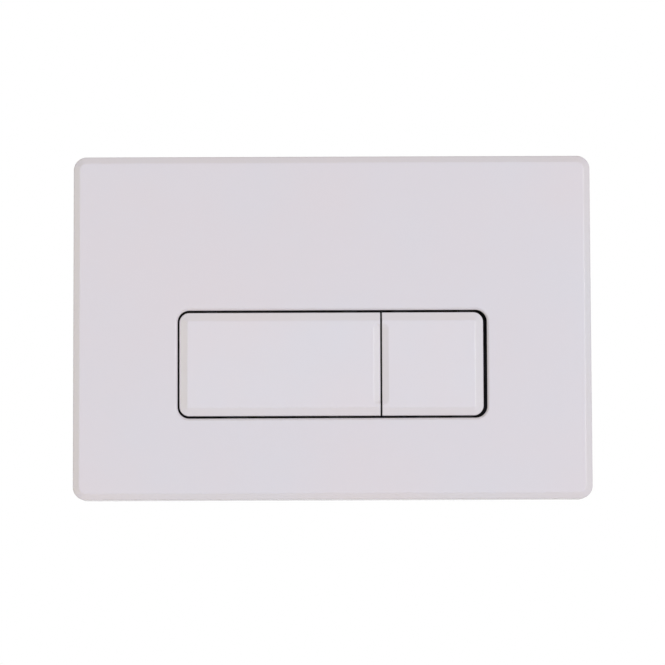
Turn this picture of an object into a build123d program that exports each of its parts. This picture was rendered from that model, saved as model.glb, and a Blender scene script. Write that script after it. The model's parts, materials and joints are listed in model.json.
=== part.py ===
"""Flush button plate: front plate, two buttons on hinged rockers, sprung plungers and the wall fixings.

Millimetres, +X right, +Y into the wall, +Z up. The origin is the middle of the plate on the wall.
"""
import os
from math import cos, pi, sin, sqrt

from build123d import *

# Front plate
plate_width = 247.0
plate_height = 164.2
plate_depth = 15.0
plate_corner_radius = 6.4
plate_skin = 2.5
rim_wall = 2.2
rim_draft = 1.0
plate_bevel_width = 3.0
plate_bevel_depth = 1.2
plate_rib_thickness = 1.4
plate_rib_height = 3.0

# Window for the buttons
window_width = 147.3
window_height = 51.5
window_drop = 17.6
window_corner_radius = 5.6
window_edge_chamfer = 0.8

# Buttons
full_button_width = 95.6
left_gap = 0.9
seam_gap = 0.85
right_gap = 1.8
button_gap = 1.15
button_depth = 7.5
button_wall = 2.2
skirt_wall = 1.8
button_bevel_width = 3.9
button_bevel_drop = 1.4
button_rib_thickness = 1.4
grip_width = 3.2
grip_depth = 1.1
grip_end_margin = 5.5
grip_end_slope = 2.0
grip_corner_radius = 2.2

# Rockers behind the buttons
rocker_thickness = 1.8
rocker_clearance = 0.15
tab_width = 10.0
tab_reach = 4.2
tab_thickness = 1.7
tab_root = 1.2
buffer_thickness = 1.0

# Hinges
hinge_rise = 5.0
hinge_set_back = 8.0
pin_radius = 1.5
pin_clearance = 0.06
eye_radius = 3.4
arm_width = 6.0
ear_thickness = 3.0
side_play = 0.3

# Plungers, springs and rods
plunger_travel = 7.0
plunger_rise = 12.75
post_width = 8.0
post_thickness = 7.0
post_length = 10.0
head_radius = 7.8
head_thickness = 2.0
stem_radius = 4.0
guide_clearance = 0.1
sleeve_wall = 1.4
sleeve_length = 12.0
stem_overhang = 4.0
spring_length = 11.8
spring_wire_radius = 0.45
spring_turns = 4
spring_steps = 10
spring_wire_sides = 5
rod_radius = 3.0
rod_reach = 30.0
rod_hold = 16.0
thread_clearance = 0.05
lock_nut_across_flats = 10.0
lock_nut_height = 4.0
tip_radius = 5.0
tip_length = 12.0
tip_bore_depth = 8.0

# Carrier
tub_wall = 2.0
tub_corner_cut = 6.0
tub_margin = 1.9
floor_thickness = 2.0
ledge_thickness = 2.0
lug_radius = 3.2
lug_thickness = 2.2
lug_overhang = 3.4
carrier_rib_thickness = 1.6
carrier_rib_height = 3.5

# Screws that hold the carrier to the front plate
boss_height = 3.5
boss_size = 6.4
screw_radius = 1.45
screw_engagement = 4.3
screw_head_across_flats = 5.5
screw_head_height = 1.9
screw_hole_clearance = 0.25

# Mounting frame and its fixings
frame_margin = 8.5
frame_base = 3.0
frame_wall = 2.0
frame_front_gap = 1.0
frame_corner_cut = 6.0
frame_window_clearance = 0.85
stud_radius = 3.0
stud_reach = 60.0
stud_neck_radius = 2.5
stud_slot_length = 11.5
stud_slot_clearance = 0.3
stud_pad_size = 15.0
stud_pad_height = 0.8
washer_size = 13.0
washer_thickness = 1.0
nut_across_flats = 8.0
nut_height = 4.0
stud_overhang = 0.6

# Hooks that hold the front plate on the mounting frame
hook_width = 14.0
hook_thickness = 2.0
hook_tooth = 1.6
hook_tooth_height = 1.8
hook_spread = 66.0

# General clearances
seat_gap = 0.1
free_gap = 0.3
weld = 0.4

# Share of a wall's thickness that a cut corner loses from the outer to the inner side of the wall
corner_share = 2 - sqrt(2)

# Sides of the eight-sided heads, sleeves and hinge eyes
eight = 8

# Places worked out from the sizes above
window_top = window_height / 2 - window_drop
window_bottom = -window_height / 2 - window_drop
button_top = window_top - button_gap
button_bottom = window_bottom + button_gap
button_middle = (button_top + button_bottom) / 2
button_height = button_top - button_bottom
full_left = -window_width / 2 + left_gap
full_right = full_left + full_button_width
half_left = full_right + seam_gap
half_right = window_width / 2 - right_gap
seam_middle = (full_right + half_left) / 2
button_corner_radius = window_corner_radius - left_gap
bevel_width = min(button_bevel_width, button_corner_radius - 2 * free_gap)

# Heights in front of the wall
skin_level = plate_depth - plate_skin
button_back = plate_depth - button_wall
skirt_level = plate_depth - button_depth
rocker_back = skirt_level + seat_gap
rocker_front = rocker_back + rocker_thickness
arm_front = skirt_level - free_gap
tab_back = arm_front - tab_thickness
ledge_back = arm_front + buffer_thickness + seat_gap
hinge_level = plate_depth - hinge_set_back
post_tip = plate_depth - post_length
head_front = post_tip - seat_gap
head_back = head_front - head_thickness
floor_front = head_back - spring_length
floor_back = floor_front - floor_thickness
sleeve_front = head_back - plunger_travel - free_gap
sleeve_back = floor_back - sleeve_length
stem_back = sleeve_back - stem_overhang
rod_front = stem_back + rod_hold
tip_front = stem_back - rod_reach
tip_back = tip_front - tip_length
rod_back = tip_front - tip_bore_depth
boss_level = skin_level - boss_height
lug_back = boss_level - lug_thickness
tub_front = skin_level - free_gap

# Places of the moving pieces
hinge_z = window_top + hinge_rise
plunger_z = window_bottom + plunger_rise
half_plunger_x = half_left + head_radius + free_gap
full_plunger_x = -half_plunger_x
sleeve_bore = stem_radius + guide_clearance
sleeve_radius = sleeve_bore + sleeve_wall
sleeve_corner = sleeve_radius / cos(pi / eight)
spring_radius = (sleeve_corner + free_gap + spring_wire_radius) / cos(pi / spring_steps)

# The carrier's tub
tub_half_width = window_width / 2 + tub_margin
tub_top = hinge_z + eye_radius + 3 * free_gap
tub_bottom = button_bottom - tab_reach - tub_wall - free_gap
tub_middle = (tub_top + tub_bottom) / 2
tub_height = tub_top - tub_bottom
lug_x = tub_half_width + tub_wall + lug_overhang
lug_spread = tub_height * 0.3
lug_points = [
    (-lug_x, tub_middle - lug_spread),
    (-lug_x, tub_middle + lug_spread),
    (lug_x, tub_middle - lug_spread),
    (lug_x, tub_middle + lug_spread),
]

# The mounting frame
rib_level = skin_level - plate_rib_height
frame_depth = rib_level - frame_front_gap
frame_half_width = plate_width / 2 - frame_margin
frame_half_height = plate_height / 2 - frame_margin
frame_window_x = lug_x + lug_radius + frame_window_clearance
frame_window_z = max(tub_top, -tub_bottom) + tub_wall + frame_window_clearance
stud_x = (frame_half_width + frame_window_x) / 2
washer_level = frame_base + stud_pad_height
nut_level = washer_level + washer_thickness
stud_front = nut_level + nut_height + stud_overhang
hook_end = frame_base + free_gap


def level(height):
    """A plane parallel to the wall and facing the room, at a height in front of the wall."""
    return Plane.XZ.offset(height)


def across(x):
    """A plane square to the hinge line; its own axes run into the wall and up."""
    return Plane.YZ.offset(x)


def block(x_min, x_max, z_min, z_max, back, front, mode=Mode.ADD):
    """A block between two heights, in the part that is being built."""
    with BuildSketch(level(back)) as outline:
        with Locations(((x_min + x_max) / 2, (z_min + z_max) / 2)):
            Rectangle(x_max - x_min, z_max - z_min)
    extrude(outline.sketch, amount=front - back, mode=mode)


def rounded_block(middle, size, radius, back, front, mode=Mode.ADD):
    """A block with rounded upright edges between two heights."""
    with BuildSketch(level(back)) as outline:
        with Locations(middle):
            RectangleRounded(size[0], size[1], radius)
    extrude(outline.sketch, amount=front - back, mode=mode)


def cut_corner_block(middle, size, cut, back, front, mode=Mode.ADD):
    """A block with cut upright edges between two heights."""
    with BuildSketch(level(back)) as outline:
        with Locations(middle):
            Rectangle(size[0], size[1])
        chamfer(outline.vertices(), length=cut)
    extrude(outline.sketch, amount=front - back, mode=mode)


def disc(points, radius, back, front, mode=Mode.ADD):
    """Round bars or holes between two heights, one at each point."""
    with BuildSketch(level(back)) as outline:
        with Locations(points):
            Circle(radius)
    extrude(outline.sketch, amount=front - back, mode=mode)


def hinge_bar(x_min, x_max, radius, mode=Mode.ADD):
    """A round bar or hole along the hinge line."""
    with BuildSketch(across(x_min)) as outline:
        with Locations((-hinge_level, hinge_z)):
            Circle(radius)
    extrude(outline.sketch, amount=x_max - x_min, mode=mode)


def arm_starts(left, right):
    """Where the two hinge arms of a button begin."""
    inset = (right - left) * 0.12
    return [left + inset, right - inset - arm_width]


def ear_starts(left, right):
    """Where the carrier's ears begin, on the outer sides of the two hinge arms."""
    first, last = arm_starts(left, right)
    return [first - side_play - ear_thickness, last + arm_width + side_play]


def tab_middles(left, right, post_x):
    """The middles of a rocker's two stop tabs: one beside the plunger, one near the right end."""
    side = post_x / abs(post_x)
    inset = (right - left) * 0.2
    return [post_x + side * (head_radius + tab_width / 2 + 3 * free_gap), right - inset]


# Front plate: a hollow cover with a bevelled edge
with BuildPart() as front_plate:
    with BuildSketch(level(0)):
        RectangleRounded(plate_width, plate_height, plate_corner_radius)
    extrude(amount=plate_depth, taper=rim_draft)
    face = front_plate.faces().sort_by(Axis.Y)[0]
    chamfer(face.edges(), length=plate_bevel_width, length2=plate_bevel_depth, reference=face)
    with BuildSketch(level(0)) as hollow:
        Rectangle(plate_width - 2 * rim_wall, plate_height - 2 * rim_wall)
        chamfer(hollow.vertices(), length=(plate_corner_radius - rim_wall) * corner_share)
    extrude(amount=skin_level, taper=rim_draft, mode=Mode.SUBTRACT)
    rounded_block(
        (0, -window_drop),
        (window_width, window_height),
        window_corner_radius,
        skin_level - weld,
        plate_depth + weld,
        mode=Mode.SUBTRACT,
    )
    face = front_plate.faces().sort_by(Axis.Y)[0]
    chamfer(face.inner_wires()[0].edges(), length=window_edge_chamfer)

    # Stiffening ribs on the back of the skin
    rim_x = plate_width / 2 - rim_wall
    rim_z = plate_height / 2 - rim_wall
    over_tub = tub_top + 2 * tub_wall
    under_tub = tub_bottom - 2 * tub_wall
    half_rib = plate_rib_thickness / 2
    for rib_z in ((over_tub + rim_z) / 2, (under_tub - rim_z) / 2):
        block(-rim_x, rim_x, rib_z - half_rib, rib_z + half_rib, rib_level, skin_level + weld)
    for rib_x in (-plate_width / 6, plate_width / 6):
        block(rib_x - half_rib, rib_x + half_rib, over_tub, rim_z, rib_level, skin_level + weld)
        block(rib_x - half_rib, rib_x + half_rib, -rim_z, under_tub, rib_level, skin_level + weld)

    # Bosses for the carrier's screws
    with BuildSketch(level(boss_level)) as bosses:
        with Locations(lug_points):
            Rectangle(boss_size, boss_size)
    extrude(bosses.sketch, amount=boss_height + weld)
    disc(
        lug_points,
        screw_radius + thread_clearance,
        boss_level,
        boss_level + screw_engagement + free_gap,
        mode=Mode.SUBTRACT,
    )

    # Hooks whose teeth stand in the slots of the mounting frame's outer wall
    for side in (-1, 1):
        arm_inner = side * (frame_half_height + free_gap)
        arm_outer = side * (frame_half_height + free_gap + hook_thickness)
        tooth_tip = side * (frame_half_height + free_gap - hook_tooth)
        for hook_x in (-hook_spread, hook_spread):
            with BuildSketch(across(hook_x - hook_width / 2)) as hook:
                with BuildLine():
                    Polyline(
                        (-skin_level - weld, arm_inner),
                        (-skin_level - weld, arm_outer),
                        (-hook_end, arm_outer),
                        (-hook_end, arm_inner),
                        (-hook_end - hook_tooth_height / 2, tooth_tip),
                        (-hook_end - hook_tooth_height, tooth_tip),
                        (-hook_end - hook_tooth_height, arm_inner),
                        close=True,
                    )
                make_face()
            extrude(hook.sketch, amount=hook_width)


# The finger grip is one shallow trough across the seam, and each button has half of it
grip_length = button_height - 2 * grip_end_margin
with BuildPart() as grip_cutter:
    with BuildSketch(level(plate_depth - grip_depth)):
        with Locations((seam_middle, button_middle)):
            RectangleRounded(2 * free_gap, grip_length - 2 * grip_end_slope, free_gap / 2)
    with BuildSketch(level(plate_depth)):
        with Locations((seam_middle, button_middle)):
            RectangleRounded(2 * grip_width + seam_gap, grip_length, grip_corner_radius)
    loft()


def make_button(left, right, seam_on_right, post_x):
    """A button cap with its bevels, half of the grip and a hollow back that holds the rocker."""
    width = right - left
    middle_x = (left + right) / 2
    with BuildPart() as button:
        with BuildSketch(level(skirt_level)) as outline:
            with Locations((middle_x, button_middle)):
                Rectangle(width, button_height)
            ends = outline.vertices().group_by(Axis.X)
            fillet(ends[0] if seam_on_right else ends[-1], radius=button_corner_radius)
        extrude(amount=button_depth)

        # The bevel runs along three sides and leaves the seam side square
        face = button.faces().sort_by(Axis.Y)[0]
        by_side = face.edges().sort_by(Axis.X)
        bevel_edges = by_side[:-1] if seam_on_right else by_side[1:]
        chamfer(bevel_edges, length=bevel_width, length2=button_bevel_drop, reference=face)
        add(grip_cutter.part, mode=Mode.SUBTRACT)

        # Hollow back with ribs
        with BuildSketch(level(skirt_level)) as hollow:
            with Locations((middle_x, button_middle)):
                Rectangle(width - 2 * skirt_wall, button_height - 2 * skirt_wall)
            fillet(
                hollow.vertices().group_by(Axis.X)[0 if seam_on_right else -1],
                radius=button_corner_radius - skirt_wall,
            )
        extrude(hollow.sketch, amount=button_depth - button_wall, mode=Mode.SUBTRACT)
        rib_back = rocker_front + seat_gap
        half_rib = button_rib_thickness / 2
        inner_left = left + skirt_wall - weld
        inner_right = right - skirt_wall + weld
        inner_low = button_bottom + skirt_wall - weld
        inner_high = button_top - skirt_wall + weld
        rib_front = button_back + weld
        block(inner_left, inner_right, plunger_z - half_rib, plunger_z + half_rib, rib_back, rib_front)
        for rib_x in (post_x, left + right - post_x):
            block(rib_x - half_rib, rib_x + half_rib, inner_low, inner_high, rib_back, rib_front)
    return button


def make_rocker(left, right, post_x):
    """A dark plate clipped into a button, with the hinge arms, the stop tabs and the nose for the plunger."""
    inset = skirt_wall + rocker_clearance
    base_low = button_bottom + inset
    base_high = button_top - inset
    with BuildPart() as rocker:
        cut_corner_block(
            ((left + right) / 2, button_middle),
            (right - left - 2 * inset, button_height - 2 * inset),
            button_corner_radius - skirt_wall,
            rocker_back,
            rocker_front,
        )

        # Round nose that presses the plunger
        nose_radius = post_thickness / 2
        with BuildSketch(across(post_x - post_width / 2)) as nose:
            with Locations((-(post_tip + nose_radius), plunger_z)):
                Circle(nose_radius)
            with Locations((-(post_tip + rocker_back + weld) / 2, plunger_z)):
                Rectangle(rocker_back + weld - post_tip, post_thickness, mode=Mode.INTERSECT)
        extrude(nose.sketch, amount=post_width)

        # Hinge arms that pass behind the button's edge and reach up behind the front plate
        arm_root = base_high - 4 * skirt_wall
        for arm_x in arm_starts(left, right):
            with BuildSketch(across(arm_x)) as arm:
                with BuildLine():
                    Polyline(
                        (-arm_front, hinge_z),
                        (-arm_front, base_high),
                        (-rocker_back - weld, base_high),
                        (-rocker_back - weld, arm_root),
                        (-post_tip - weld, arm_root),
                        (eye_radius - hinge_level, hinge_z),
                        close=True,
                    )
                make_face()
                with Locations((-hinge_level, hinge_z)):
                    RegularPolygon(eye_radius, eight, major_radius=False, rotation=180 / eight)
            extrude(arm.sketch, amount=arm_width)
        hinge_bar(left, right, pin_radius + pin_clearance, mode=Mode.SUBTRACT)

        # Stop tabs that hold the button in behind the carrier's ledge
        for tab_x in tab_middles(left, right, post_x):
            tab_left = tab_x - tab_width / 2
            tab_right = tab_x + tab_width / 2
            tab_top = base_low + tab_root
            block(tab_left, tab_right, button_bottom - tab_reach, tab_top, tab_back, arm_front)
            block(tab_left, tab_right, base_low, tab_top, tab_back, rocker_back + weld)
    return rocker


def make_buffers(left, right, post_x):
    """Soft pads on the stop tabs, facing the carrier's ledge."""
    with BuildPart() as buffers:
        for tab_x in tab_middles(left, right, post_x):
            block(
                tab_x - tab_width / 2 + free_gap,
                tab_x + tab_width / 2 - free_gap,
                button_bottom - tab_reach + free_gap,
                window_bottom - free_gap,
                arm_front,
                arm_front + buffer_thickness,
            )
    return buffers


def make_hinge_pin(left, right):
    """A pin held by the carrier's ears, which a button swings on."""
    first, last = ear_starts(left, right)
    with BuildPart() as pin:
        hinge_bar(first, last + ear_thickness, pin_radius)
    return pin


def make_plunger(x):
    """An eight-sided head with a hollow stem; the push rod screws into the stem."""
    with BuildPart() as plunger:
        with BuildSketch(level(head_back)) as head:
            with Locations((x, plunger_z)):
                RegularPolygon(head_radius, eight, major_radius=False, rotation=180 / eight)
        extrude(head.sketch, amount=head_thickness)
        disc([(x, plunger_z)], stem_radius, stem_back, head_back)
        disc(
            [(x, plunger_z)],
            rod_radius + thread_clearance,
            stem_back,
            rod_front + free_gap,
            mode=Mode.SUBTRACT,
        )
    return plunger


def make_spring(x):
    """A coil of straight wire lengths, closed at both ends, between the carrier's floor and the head."""
    count = spring_turns * spring_steps
    rise = spring_length - 2 * spring_wire_radius - 2 * seat_gap
    closed_step = 2 * spring_wire_radius / spring_steps
    open_step = (rise - 2 * spring_steps * closed_step) / (count - 2 * spring_steps)
    depth = -head_back + seat_gap + spring_wire_radius
    points = []
    for step in range(count + 1):
        turn = 2 * pi * step / spring_steps
        points.append((x + spring_radius * cos(turn), depth, plunger_z + spring_radius * sin(turn)))
        closed = step < spring_steps or step >= count - spring_steps
        depth = depth + (closed_step if closed else open_step)
    with BuildPart() as spring:
        with BuildLine() as path:
            Polyline(*points)
        with BuildSketch(Plane(origin=path.line @ 0, z_dir=path.line % 0)):
            RegularPolygon(spring_wire_radius, spring_wire_sides)
        sweep(transition=Transition.RIGHT)
    return spring


def make_push_rod(x):
    """A threaded rod from inside the plunger's stem to inside the tip."""
    with BuildPart() as rod:
        disc([(x, plunger_z)], rod_radius, rod_back, rod_front)
    return rod


def make_lock_nut(x):
    """A nut on the rod, tight against the end of the stem."""
    with BuildPart() as nut:
        with BuildSketch(level(stem_back - lock_nut_height)):
            with Locations((x, plunger_z)):
                RegularPolygon(lock_nut_across_flats / 2, 6, major_radius=False)
                Circle(rod_radius + thread_clearance, mode=Mode.SUBTRACT)
        extrude(amount=lock_nut_height)
    return nut


def make_rod_tip(x):
    """A soft cap on the end of the rod, which presses the cistern's lever."""
    with BuildPart() as tip:
        disc([(x, plunger_z)], tip_radius, tip_back, tip_front)
        disc(
            [(x, plunger_z)],
            rod_radius + thread_clearance,
            rod_back - free_gap,
            tip_front,
            mode=Mode.SUBTRACT,
        )
    return tip


full_flush_button = make_button(full_left, full_right, True, full_plunger_x)
half_flush_button = make_button(half_left, half_right, False, half_plunger_x)
full_flush_rocker = make_rocker(full_left, full_right, full_plunger_x)
half_flush_rocker = make_rocker(half_left, half_right, half_plunger_x)
full_flush_buffers = make_buffers(full_left, full_right, full_plunger_x)
half_flush_buffers = make_buffers(half_left, half_right, half_plunger_x)
full_flush_hinge_pin = make_hinge_pin(full_left, full_right)
half_flush_hinge_pin = make_hinge_pin(half_left, half_right)
full_flush_plunger = make_plunger(full_plunger_x)
half_flush_plunger = make_plunger(half_plunger_x)
full_flush_return_spring = make_spring(full_plunger_x)
half_flush_return_spring = make_spring(half_plunger_x)
full_flush_push_rod = make_push_rod(full_plunger_x)
half_flush_push_rod = make_push_rod(half_plunger_x)
full_flush_lock_nut = make_lock_nut(full_plunger_x)
half_flush_lock_nut = make_lock_nut(half_plunger_x)
full_flush_rod_tip = make_rod_tip(full_plunger_x)
half_flush_rod_tip = make_rod_tip(half_plunger_x)


# Carrier: an open tub behind the window with ears for the hinge pins and sleeves for the plungers
with BuildPart() as button_carrier:
    cut_corner_block(
        (0, tub_middle),
        (2 * (tub_half_width + tub_wall), tub_height + 2 * tub_wall),
        tub_corner_cut,
        floor_back,
        tub_front,
    )
    cut_corner_block(
        (0, tub_middle),
        (2 * tub_half_width, tub_height),
        tub_corner_cut - tub_wall * corner_share,
        floor_front,
        tub_front,
        mode=Mode.SUBTRACT,
    )

    # Ledge that stops the tabs of the rockers
    block(
        -tub_half_width,
        tub_half_width,
        tub_bottom - weld,
        window_bottom - free_gap,
        ledge_back,
        ledge_back + ledge_thickness,
    )

    # Openings in the floor, kept out of line with the gaps round the buttons
    ring_reach = spring_radius + 2 * tub_wall
    opening_low = button_bottom + 2 * tub_wall
    opening_high = button_top - 2 * tub_wall
    full_span = [full_left + 4 * tub_wall, full_plunger_x - ring_reach]
    middle_span = [full_plunger_x + ring_reach, seam_middle - 3 * tub_wall]
    half_span = [half_plunger_x + ring_reach, half_right - 4 * tub_wall]
    for span_low, span_high in (full_span, middle_span, half_span):
        block(
            span_low,
            span_high,
            opening_low,
            opening_high,
            floor_back,
            floor_front,
            mode=Mode.SUBTRACT,
        )

    # Ribs on the back of the floor
    half_rib = carrier_rib_thickness / 2
    rib_back = floor_back - carrier_rib_height
    rib_z = (opening_high + tub_top) / 2
    block(
        -tub_half_width,
        tub_half_width,
        rib_z - half_rib,
        rib_z + half_rib,
        rib_back,
        floor_back + weld,
    )
    for rib_x in (full_plunger_x, half_plunger_x):
        block(rib_x - half_rib, rib_x + half_rib, tub_bottom, rib_z, rib_back, floor_back + weld)

    # Sleeves for the plungers, which also keep the springs in place
    plunger_points = [(full_plunger_x, plunger_z), (half_plunger_x, plunger_z)]
    with BuildSketch(level(sleeve_back)) as sleeves:
        with Locations(plunger_points):
            RegularPolygon(sleeve_radius, eight, major_radius=False, rotation=180 / eight)
    extrude(sleeves.sketch, amount=sleeve_front - sleeve_back)
    disc(plunger_points, sleeve_bore, sleeve_back, sleeve_front, mode=Mode.SUBTRACT)

    # Ears that hold the hinge pins
    ear_places = ear_starts(full_left, full_right) + ear_starts(half_left, half_right)
    for ear_x in ear_places:
        block(
            ear_x,
            ear_x + ear_thickness,
            hinge_z - eye_radius,
            tub_top + weld,
            hinge_level - eye_radius,
            hinge_level + eye_radius,
        )
    hinge_bar(-tub_half_width, tub_half_width, pin_radius + pin_clearance / 2, mode=Mode.SUBTRACT)

    # Lugs for the screws
    lug_root = tub_half_width + tub_wall / 2
    lug_end = lug_x + lug_radius
    for lug_px, lug_pz in lug_points:
        block(
            lug_root if lug_px > 0 else -lug_end,
            lug_end if lug_px > 0 else -lug_root,
            lug_pz - lug_radius,
            lug_pz + lug_radius,
            lug_back,
            boss_level,
        )
    disc(
        lug_points,
        screw_radius + screw_hole_clearance,
        lug_back,
        boss_level,
        mode=Mode.SUBTRACT,
    )


# Screws from behind, through the carrier's lugs and into the front plate's bosses
with BuildPart() as carrier_screws:
    disc(lug_points, screw_radius, lug_back - weld, boss_level + screw_engagement)
    with BuildSketch(level(lug_back - screw_head_height)) as heads:
        with Locations(lug_points):
            RegularPolygon(screw_head_across_flats / 2, 6, major_radius=False)
    extrude(heads.sketch, amount=screw_head_height)


# Mounting frame: a flat ring on the wall with a wall along its outer and inner edges
with BuildPart() as mounting_frame:
    inner_cut = frame_corner_cut - frame_wall * corner_share
    cut_corner_block(
        (0, 0),
        (2 * frame_half_width, 2 * frame_half_height),
        frame_corner_cut,
        0,
        frame_depth,
    )
    cut_corner_block(
        (0, 0),
        (2 * (frame_half_width - frame_wall), 2 * (frame_half_height - frame_wall)),
        inner_cut,
        frame_base,
        frame_depth,
        mode=Mode.SUBTRACT,
    )
    cut_corner_block(
        (0, 0),
        (2 * (frame_window_x + frame_wall), 2 * (frame_window_z + frame_wall)),
        frame_corner_cut,
        frame_base - weld,
        frame_depth,
    )
    cut_corner_block(
        (0, 0),
        (2 * frame_window_x, 2 * frame_window_z),
        inner_cut,
        0,
        frame_depth,
        mode=Mode.SUBTRACT,
    )

    # Cross ribs in the side bars, above and below the fixings
    half_rib = frame_wall / 2
    for rib_z in (-frame_window_z * 0.75, -frame_window_z * 0.4, frame_window_z * 0.4, frame_window_z * 0.75):
        for side in (-1, 1):
            inner = side * (frame_window_x + half_rib)
            outer = side * (frame_half_width - half_rib)
            block(
                min(inner, outer),
                max(inner, outer),
                rib_z - half_rib,
                rib_z + half_rib,
                frame_base - weld,
                frame_depth,
            )

    # Pads with slots for the fixing studs
    stud_points = [(-stud_x, 0), (stud_x, 0)]
    for pad_x, pad_z in stud_points:
        half_pad = stud_pad_size / 2
        block(
            pad_x - half_pad,
            pad_x + half_pad,
            pad_z - half_pad,
            pad_z + half_pad,
            frame_base - weld,
            washer_level,
        )
    with BuildSketch(level(0)) as stud_slots:
        with Locations(stud_points):
            SlotOverall(stud_slot_length, 2 * (stud_radius + stud_slot_clearance), rotation=90)
    extrude(stud_slots.sketch, amount=washer_level, mode=Mode.SUBTRACT)

    # Slots in the outer wall for the teeth of the front plate's hooks
    for side in (-1, 1):
        slot_inner = side * (frame_half_height - frame_wall - weld)
        slot_outer = side * (frame_half_height + weld)
        for hook_x in (-hook_spread, hook_spread):
            block(
                hook_x - hook_width / 2 - free_gap,
                hook_x + hook_width / 2 + free_gap,
                min(slot_inner, slot_outer),
                max(slot_inner, slot_outer),
                frame_base,
                hook_end + hook_tooth_height + free_gap,
                mode=Mode.SUBTRACT,
            )


def make_fixing_stud(x):
    """A stud with a thick thread for the cistern's bracket and a thin one for the nut."""
    with BuildPart() as stud:
        disc([(x, 0)], stud_radius, -stud_reach, 0)
        disc([(x, 0)], stud_neck_radius, 0, stud_front)
    return stud


def make_fixing_washer(x):
    """A square washer that covers the slot in the mounting frame."""
    with BuildPart() as washer:
        with BuildSketch(level(washer_level)):
            with Locations((x, 0)):
                Rectangle(washer_size, washer_size)
                Circle(stud_neck_radius + stud_slot_clearance, mode=Mode.SUBTRACT)
        extrude(amount=washer_thickness)
    return washer


def make_fixing_nut(x):
    """A nut on the stud, tight against the washer."""
    with BuildPart() as nut:
        with BuildSketch(level(nut_level)):
            with Locations((x, 0)):
                RegularPolygon(nut_across_flats / 2, 6, major_radius=False)
                Circle(stud_neck_radius + thread_clearance, mode=Mode.SUBTRACT)
        extrude(amount=nut_height)
    return nut


left_fixing_stud = make_fixing_stud(-stud_x)
right_fixing_stud = make_fixing_stud(stud_x)
left_fixing_washer = make_fixing_washer(-stud_x)
right_fixing_washer = make_fixing_washer(stud_x)
left_fixing_nut = make_fixing_nut(-stud_x)
right_fixing_nut = make_fixing_nut(stud_x)

pieces = {
    "front_plate": front_plate,
    "full_flush_button": full_flush_button,
    "half_flush_button": half_flush_button,
    "full_flush_rocker": full_flush_rocker,
    "half_flush_rocker": half_flush_rocker,
    "full_flush_buffers": full_flush_buffers,
    "half_flush_buffers": half_flush_buffers,
    "full_flush_hinge_pin": full_flush_hinge_pin,
    "half_flush_hinge_pin": half_flush_hinge_pin,
    "button_carrier": button_carrier,
    "carrier_screws": carrier_screws,
    "full_flush_plunger": full_flush_plunger,
    "half_flush_plunger": half_flush_plunger,
    "full_flush_return_spring": full_flush_return_spring,
    "half_flush_return_spring": half_flush_return_spring,
    "full_flush_push_rod": full_flush_push_rod,
    "half_flush_push_rod": half_flush_push_rod,
    "full_flush_lock_nut": full_flush_lock_nut,
    "half_flush_lock_nut": half_flush_lock_nut,
    "full_flush_rod_tip": full_flush_rod_tip,
    "half_flush_rod_tip": half_flush_rod_tip,
    "mounting_frame": mounting_frame,
    "left_fixing_stud": left_fixing_stud,
    "right_fixing_stud": right_fixing_stud,
    "left_fixing_washer": left_fixing_washer,
    "right_fixing_washer": right_fixing_washer,
    "left_fixing_nut": left_fixing_nut,
    "right_fixing_nut": right_fixing_nut,
}

os.makedirs("parts", exist_ok=True)
for label, piece in pieces.items():
    piece.part.label = label
    export_step(piece.part, f"parts/{label}.step")
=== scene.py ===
import json
import math

import bpy
from mathutils import Matrix, Vector


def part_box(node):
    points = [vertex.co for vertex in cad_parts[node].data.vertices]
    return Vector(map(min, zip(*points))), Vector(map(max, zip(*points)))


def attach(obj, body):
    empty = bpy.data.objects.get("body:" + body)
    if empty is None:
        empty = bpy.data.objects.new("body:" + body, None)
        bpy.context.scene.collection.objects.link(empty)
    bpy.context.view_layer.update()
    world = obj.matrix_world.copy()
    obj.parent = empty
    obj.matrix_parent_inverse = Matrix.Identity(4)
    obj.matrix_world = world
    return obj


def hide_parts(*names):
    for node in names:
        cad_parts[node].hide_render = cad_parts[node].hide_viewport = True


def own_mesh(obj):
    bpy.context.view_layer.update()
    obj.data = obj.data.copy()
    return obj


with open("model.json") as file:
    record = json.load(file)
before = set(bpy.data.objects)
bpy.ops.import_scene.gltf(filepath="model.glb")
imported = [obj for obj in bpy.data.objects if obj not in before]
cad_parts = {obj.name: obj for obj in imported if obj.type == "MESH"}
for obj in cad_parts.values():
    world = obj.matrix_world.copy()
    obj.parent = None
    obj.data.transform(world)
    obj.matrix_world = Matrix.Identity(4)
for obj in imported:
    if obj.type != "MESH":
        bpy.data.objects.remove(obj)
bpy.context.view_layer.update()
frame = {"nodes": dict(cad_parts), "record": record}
nodes = frame["nodes"]
scene = bpy.context.scene


# Materials

# Most of a noise texture's values lie between these two.
noise_low = 0.3
noise_high = 0.7


def material(name):
    """A new node material, its tree and its shader."""
    made = bpy.data.materials.new(name)
    made.use_nodes = True
    tree = made.node_tree
    tree.nodes.clear()
    out = tree.nodes.new("ShaderNodeOutputMaterial")
    shader = tree.nodes.new("ShaderNodeBsdfPrincipled")
    tree.links.new(shader.outputs["BSDF"], out.inputs["Surface"])
    return made, tree, shader


def noise(tree, scale, detail=3.0, stretch=None):
    """Noise in the object's own metres, with a scale in patches per metre."""
    place = tree.nodes.new("ShaderNodeTexCoord")
    made = tree.nodes.new("ShaderNodeTexNoise")
    made.inputs["Scale"].default_value = scale
    made.inputs["Detail"].default_value = detail
    if stretch:
        mapping = tree.nodes.new("ShaderNodeMapping")
        mapping.inputs["Scale"].default_value = stretch
        tree.links.new(place.outputs["Object"], mapping.inputs["Vector"])
        tree.links.new(mapping.outputs["Vector"], made.inputs["Vector"])
    else:
        tree.links.new(place.outputs["Object"], made.inputs["Vector"])
    return made


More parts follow.
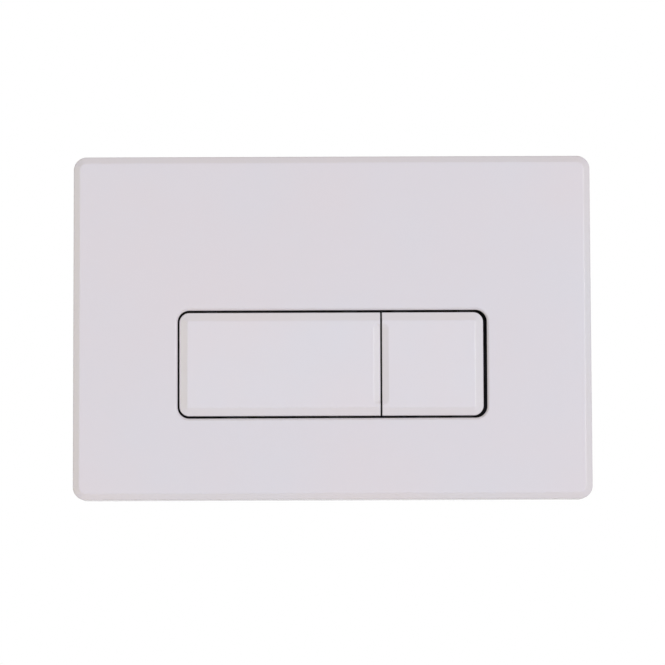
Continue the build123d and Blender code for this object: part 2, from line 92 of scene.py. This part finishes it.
def vary_colour(tree, shader, source, low, high):
    """The base colour runs from low to high over the source's values."""
    ramp = tree.nodes.new("ShaderNodeValToRGB")
    first, last = ramp.color_ramp.elements
    first.position = noise_low
    first.color = (*low, 1.0)
    last.position = noise_high
    last.color = (*high, 1.0)
    tree.links.new(source.outputs["Fac"], ramp.inputs["Fac"])
    tree.links.new(ramp.outputs["Color"], shader.inputs["Base Color"])


def vary_roughness(tree, shader, source, low, high):
    """The roughness runs from low to high over the source's values."""
    span = tree.nodes.new("ShaderNodeMapRange")
    span.inputs["From Min"].default_value = noise_low
    span.inputs["From Max"].default_value = noise_high
    span.inputs["To Min"].default_value = low
    span.inputs["To Max"].default_value = high
    tree.links.new(source.outputs["Fac"], span.inputs["Value"])
    tree.links.new(span.outputs["Result"], shader.inputs["Roughness"])


def add_bump(tree, shader, source, strength, depth):
    """Fine relief from the source."""
    bump = tree.nodes.new("ShaderNodeBump")
    bump.inputs["Strength"].default_value = strength
    bump.inputs["Distance"].default_value = depth
    tree.links.new(source.outputs["Fac"], bump.inputs["Height"])
    tree.links.new(bump.outputs["Normal"], shader.inputs["Normal"])
    return bump


def plastic(name, low, high, rough, grain, strength, depth, patch=14.0, edge=None):
    """Moulded plastic: faint cloudy colour, uneven gloss and a fine grain.

    The colour's patches have the scale patch, and those of the gloss are smaller.
    An edge is the radius by which the shader rounds the edges.
    """
    made, tree, shader = material(name)
    gloss_patch = 5 * patch
    vary_colour(tree, shader, noise(tree, patch, detail=4.0), low, high)
    vary_roughness(tree, shader, noise(tree, gloss_patch), *rough)
    bump = add_bump(tree, shader, noise(tree, grain, detail=2.0), strength, depth)
    if edge:
        rounding = tree.nodes.new("ShaderNodeBevel")
        rounding.samples = 6
        rounding.inputs["Radius"].default_value = edge
        tree.links.new(rounding.outputs["Normal"], bump.inputs["Normal"])
    return made


def metal(name, low, high, rough, stretch=None):
    """Plated steel: a slight tint, uneven roughness and a fine grain, which a stretch draws into lines."""
    made, tree, shader = material(name)
    shader.inputs["Metallic"].default_value = 1.0
    tint = noise(tree, scale=60.0, detail=4.0)
    gloss = noise(tree, scale=300.0, stretch=stretch)
    grain = noise(tree, scale=900.0, detail=2.0, stretch=stretch)
    vary_colour(tree, shader, tint, low, high)
    vary_roughness(tree, shader, gloss, *rough)
    add_bump(tree, shader, grain, strength=0.15, depth=0.00005)
    return made


white_gloss = {"rough": (0.17, 0.23), "grain": 700.0, "strength": 0.04, "depth": 0.00006}
along_y = (1.0, 0.1, 1.0)

by_slot = {
    "white_gloss": plastic(
        "white_plate",
        low=(0.717, 0.655, 0.698),
        high=(0.691, 0.667, 0.726),
        patch=11.0,
        edge=0.0009,
        **white_gloss,
    ),
    "white_gloss_button": plastic(
        "white_button",
        low=(0.731, 0.671, 0.714),
        high=(0.706, 0.683, 0.742),
        patch=17.0,
        edge=0.0008,
        **white_gloss,
    ),
    "black_plastic": plastic(
        "black_plastic",
        low=(0.014, 0.012, 0.011),
        high=(0.024, 0.021, 0.019),
        rough=(0.42, 0.58),
        grain=1500.0,
        strength=0.25,
        depth=0.0001,
        edge=0.0004,
    ),
    "grey_plastic": plastic(
        "grey_plastic",
        low=(0.31, 0.32, 0.34),
        high=(0.39, 0.40, 0.42),
        rough=(0.36, 0.48),
        grain=1200.0,
        strength=0.15,
        depth=0.00008,
    ),
    "white_rod": plastic(
        "white_rod",
        low=(0.70, 0.70, 0.67),
        high=(0.78, 0.78, 0.755),
        rough=(0.30, 0.42),
        grain=900.0,
        strength=0.08,
        depth=0.00006,
    ),
    "frame_plastic": plastic(
        "frame_plastic",
        low=(0.57, 0.57, 0.555),
        high=(0.64, 0.64, 0.63),
        rough=(0.40, 0.54),
        grain=1300.0,
        strength=0.2,
        depth=0.0001,
        edge=0.0005,
    ),
    "soft_grey": plastic(
        "soft_grey",
        low=(0.065, 0.065, 0.07),
        high=(0.10, 0.10, 0.105),
        rough=(0.68, 0.85),
        grain=2200.0,
        strength=0.35,
        depth=0.0001,
    ),
    "steel": metal(
        "steel",
        low=(0.45, 0.45, 0.445),
        high=(0.57, 0.566, 0.552),
        rough=(0.32, 0.46),
        stretch=along_y,
    ),
}
spring_steel = metal("spring_steel", low=(0.44, 0.44, 0.44), high=(0.56, 0.56, 0.55), rough=(0.26, 0.40))


# CAD nodes: their own shapes with softened edges

# The materials of these slots round the edges themselves.
shader_edged = ("black_plastic", "frame_plastic", "white_gloss", "white_gloss_button")
edge_width = 0.0002
tip_edge_width = 0.0008
wide_edges = {"full_flush_rod_tip": tip_edge_width, "half_flush_rod_tip": tip_edge_width}


def soften(obj, width):
    """Rounds the edges of a CAD node a little, so that they catch the light."""
    weld = obj.modifiers.new("weld", "WELD")
    weld.merge_threshold = 0.000002
    bevel = obj.modifiers.new("bevel", "BEVEL")
    bevel.width = width
    bevel.segments = 3
    bevel.limit_method = "ANGLE"
    bevel.angle_limit = math.radians(12.0)
    bevel.miter_outer = "MITER_ARC"
    normal = obj.modifiers.new("normal", "WEIGHTED_NORMAL")
    normal.weight = 80


for part in frame["record"]["subparts"]:
    obj = nodes[part["node"]]
    obj.data.materials.clear()
    obj.data.materials.append(by_slot[part["material_slot"]])
    if part["material_slot"] not in shader_edged:
        soften(obj, wide_edges.get(part["node"], edge_width))


# Pieces that the CAD shows in a plainer form

def mesh_piece(name, points, faces, finish, body):
    """A smooth mesh that rides on a body."""
    mesh = bpy.data.meshes.new(name)
    mesh.from_pydata(points, [], faces)
    mesh.validate()
    mesh.polygons.foreach_set("use_smooth", [True] * len(mesh.polygons))
    mesh.materials.append(finish)
    obj = bpy.data.objects.new(name, mesh)
    scene.collection.objects.link(obj)
    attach(obj, body)
    return obj


def tube_faces(rings, around):
    """Quads between rings of points, with one face over each end."""
    faces = []
    for ring in range(rings - 1):
        for step in range(around):
            a = ring * around + step
            b = ring * around + (step + 1) % around
            faces.append((a, b, b + around, a + around))
    last = (rings - 1) * around
    faces.append(tuple(range(around - 1, -1, -1)))
    faces.append(tuple(last + step for step in range(around)))
    return faces


def thread_cut(y, turn, start, end, pitch):
    """How deep a right-hand thread is cut at a point, in thread depths, with shallower, thinner ends."""
    flank_slope = 2.6
    crest_flat = 0.15
    end_lead = 0.15
    end_groove = 0.4
    end_taper = 0.6
    lead = min(1.0, (y - start) / pitch + end_lead, (end - y) / pitch + end_lead)
    phase = (y / pitch - turn) % 1.0
    groove = min(1.0, max(0.0, flank_slope * abs(phase - 0.5) - crest_flat))
    return groove * (end_groove + (1.0 - end_groove) * lead) + end_taper * (1.0 - lead)


def threaded_bar(name, node, sections, slot, body):
    """A bar along Y with real threads: each section is (start, end, radius, pitch, depth)."""
    low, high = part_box(node)
    centre = (low + high) / 2
    around = 36
    rings_per_pitch = 8
    points = []
    for start, end, radius, pitch, depth in sections:
        steps = round((end - start) / pitch * rings_per_pitch)
        for ring in range(steps + 1):
            y = start + (end - start) * ring / steps
            for step in range(around):
                turn = step / around
                angle = 2 * math.pi * turn
                r = radius - depth * thread_cut(y, turn, start, end, pitch)
                points.append((centre.x + r * math.sin(angle), y, centre.z + r * math.cos(angle)))
    faces = tube_faces(len(points) // around, around)
    obj = mesh_piece(name, points, faces, by_slot[slot], body)
    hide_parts(node)


# Each thread has a pitch and a depth. The studs change from M5 to M6 at the wall.
m6_thread = (0.001, 0.00055)
m5_thread = (0.0008, 0.00045)
m5_radius = 0.0025
wall_plane = 0.0
for side in ("full", "half"):
    node = f"{side}_flush_push_rod"
    low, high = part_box(node)
    rod = [(low.y, high.y, (high.x - low.x) / 2, *m6_thread)]
    threaded_bar(f"{side}_threaded_rod", node, rod, "white_rod", f"{side}_plunger")
for side in ("left", "right"):
    node = f"{side}_fixing_stud"
    low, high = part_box(node)
    stud = [
        (low.y, wall_plane, m5_radius, *m5_thread),
        (wall_plane, high.y, (high.x - low.x) / 2, *m6_thread),
    ]
    threaded_bar(f"{side}_threaded_stud", node, stud, "steel", "plate")


def coil(name, node, wire, turns):
    """A spring of round wire with closed ends.

    The wire is given by its radius. The coil stays a little inside the CAD spring's outline.
    """
    low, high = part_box(node)
    length = high.y - low.y
    centre = (low + high) / 2
    inset = 1.3 * wire
    radius = (high.z - low.z) / 2 - inset
    around = 14
    rings_per_turn = 40
    closed_turns = 0.9
    closed_pitch = 1.9 * wire
    open_turns = turns - 2 * closed_turns
    open_length = length - 2 * wire - 2 * closed_turns * closed_pitch
    rings = int(turns * rings_per_turn) + 1
    points = []
    for ring in range(rings):
        turn = ring / rings_per_turn
        opened = min(max((turn - closed_turns) / open_turns, 0.0), 1.0)
        closed = min(turn, closed_turns) + max(0.0, turn - (turns - closed_turns))
        y = low.y + wire + closed * closed_pitch + opened * open_length
        angle = 2 * math.pi * turn
        for step in range(around):
            tilt = 2 * math.pi * step / around
            out = radius + wire * math.cos(tilt)
            points.append((
                centre.x + out * math.cos(angle),
                y + wire * math.sin(tilt),
                centre.z + out * math.sin(angle),
            ))
    obj = mesh_piece(name, points, tube_faces(rings, around), spring_steel, "plate")
    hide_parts(node)
    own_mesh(obj)


for side in ("full", "half"):
    coil(
        f"{side}_coil_spring",
        f"{side}_flush_return_spring",
        wire=0.00045,
        turns=5.5,
    )


# Floor, light and camera

white = (1.0, 1.0, 1.0)


def seen_directly(tree):
    """1 for what the camera sees, also by reflection or through glass, and 0 for light on the object."""
    path = tree.nodes.new("ShaderNodeLightPath")
    reflected = tree.nodes.new("ShaderNodeMath")
    reflected.operation = "MAXIMUM"
    tree.links.new(path.outputs["Is Camera Ray"], reflected.inputs[0])
    tree.links.new(path.outputs["Is Glossy Ray"], reflected.inputs[1])
    through = tree.nodes.new("ShaderNodeMath")
    through.operation = "MAXIMUM"
    tree.links.new(reflected.outputs["Value"], through.inputs[0])
    tree.links.new(path.outputs["Is Transmission Ray"], through.inputs[1])
    return through.outputs["Value"]


def mix_by_sight(tree, lit, seen, out):
    """The output gets the lit shader for light on the object and the seen one for direct sight."""
    mix = tree.nodes.new("ShaderNodeMixShader")
    tree.links.new(seen_directly(tree), mix.inputs["Fac"])
    tree.links.new(lit, mix.inputs[1])
    tree.links.new(seen, mix.inputs[2])
    tree.links.new(mix.outputs["Shader"], out.inputs["Surface"])


def background(tree, strength):
    """A white background shader."""
    made = tree.nodes.new("ShaderNodeBackground")
    made.inputs["Color"].default_value = (*white, 1.0)
    made.inputs["Strength"].default_value = strength
    return made.outputs["Background"]


def studio_world(soft_level):
    """Soft light from all round, seen as a white backdrop."""
    world = bpy.data.worlds.new("studio")
    scene.world = world
    world.use_nodes = True
    tree = world.node_tree
    tree.nodes.clear()
    out = tree.nodes.new("ShaderNodeOutputWorld")
    mix_by_sight(tree, background(tree, soft_level), background(tree, 1.0), out)


def pale_floor(width, level):
    """A pale floor far below the plate, which hangs on a wall; it is seen as white as the backdrop."""
    made, tree, shader = material("pale_floor")
    vary_colour(tree, shader, noise(tree, scale=3.0), low=(0.78, 0.78, 0.78), high=(0.82, 0.82, 0.82))
    vary_roughness(tree, shader, noise(tree, scale=9.0), low=0.55, high=0.7)
    glow = tree.nodes.new("ShaderNodeEmission")
    glow.inputs["Color"].default_value = (*white, 1.0)
    glow.inputs["Strength"].default_value = 1.0
    out = tree.nodes["Material Output"]
    mix_by_sight(tree, shader.outputs["BSDF"], glow.outputs["Emission"], out)
    half = width / 2
    corners = [(-half, -half, level), (half, -half, level), (half, half, level), (-half, half, level)]
    mesh = bpy.data.meshes.new("floor")
    mesh.from_pydata(corners, [], [(0, 1, 2, 3)])
    mesh.materials.append(made)
    floor = bpy.data.objects.new("floor", mesh)
    scene.collection.objects.link(floor)


def area_light(name, place, size, power, colour):
    """A soft panel that faces the origin."""
    data = bpy.data.lights.new(name, "AREA")
    data.shape = "RECTANGLE"
    data.size, data.size_y = size
    data.energy = power
    data.color = colour
    lamp = bpy.data.objects.new(name, data)
    scene.collection.objects.link(lamp)
    lamp.location = place
    lamp.rotation_euler = (-Vector(place)).to_track_quat("-Z", "Y").to_euler()
    return lamp


studio_world(soft_level=0.256)
pale_floor(width=5.0, level=-1.9)

# Each panel has a place, a size, a power and a colour. The front and edge panels light the face,
# the next four tint the bevels, and the back ones light the frame and the carrier.
edge_colour = (1.0, 0.997, 0.985)
side_size = (1.2, 1.6)
flat_size = (1.6, 1.2)
back_size = (3.0, 1.8)
panels = {
    "front": ((0.0, -2.6, -0.15), (2.4, 1.8), 17.2, (0.585, 0.66, 1.0)),
    "edge": ((2.92, -6.58, 0.58), (2.2, 2.2), 71.0, edge_colour),
    "edge_fill": ((2.92, -6.58, 0.0), (2.2, 9.0), 205.0, edge_colour),
    "right": ((1.5, -1.1, 0.0), side_size, 1.4, (0.65, 1.0, 0.12)),
    "left": ((-1.5, -1.1, 0.0), side_size, 3.05, (1.0, 0.985, 0.03)),
    "above": ((0.0, -1.1, 1.5), flat_size, 1.85, (1.0, 0.56, 0.03)),
    "below": ((0.0, -1.1, -1.5), flat_size, 1.7, (1.0, 0.65, 0.03)),
    "back_left": ((-1.9, 1.9, 0.0), back_size, 19.0, white),
    "back_right": ((1.9, 1.9, 0.0), back_size, 19.0, white),
    "back_top": ((0.0, 1.5, 1.8), (2.4, 0.9), 14.0, white),
}
# As a mirror image this panel would whiten whole faces, so gloss does not show it.
matt_panels = ("edge_fill",)
for name, (place, size, power, colour) in panels.items():
    lamp = area_light(name, place, size, power, colour)
    lamp.visible_glossy = name not in matt_panels

# The camera looks a little up at the plate, with a long lens and a slight roll.
camera_data = bpy.data.cameras.new("camera")
camera_data.lens = 159.3
camera_data.clip_start = 0.01
camera = bpy.data.objects.new("camera", camera_data)
scene.collection.objects.link(camera)
scene.camera = camera
aim = Vector((0.00014, -0.015, -0.0026))
distance = 1.40
from_below = math.radians(4.5)
roll = math.radians(-0.2)
place = aim + distance * Vector((0.0, -math.cos(from_below), -math.sin(from_below)))
turn = (aim - place).to_track_quat("-Z", "Y").to_matrix().to_4x4()
camera.matrix_world = Matrix.Translation(place) @ turn @ Matrix.Rotation(roll, 4, "Z")

scene.view_settings.view_transform = "Standard"
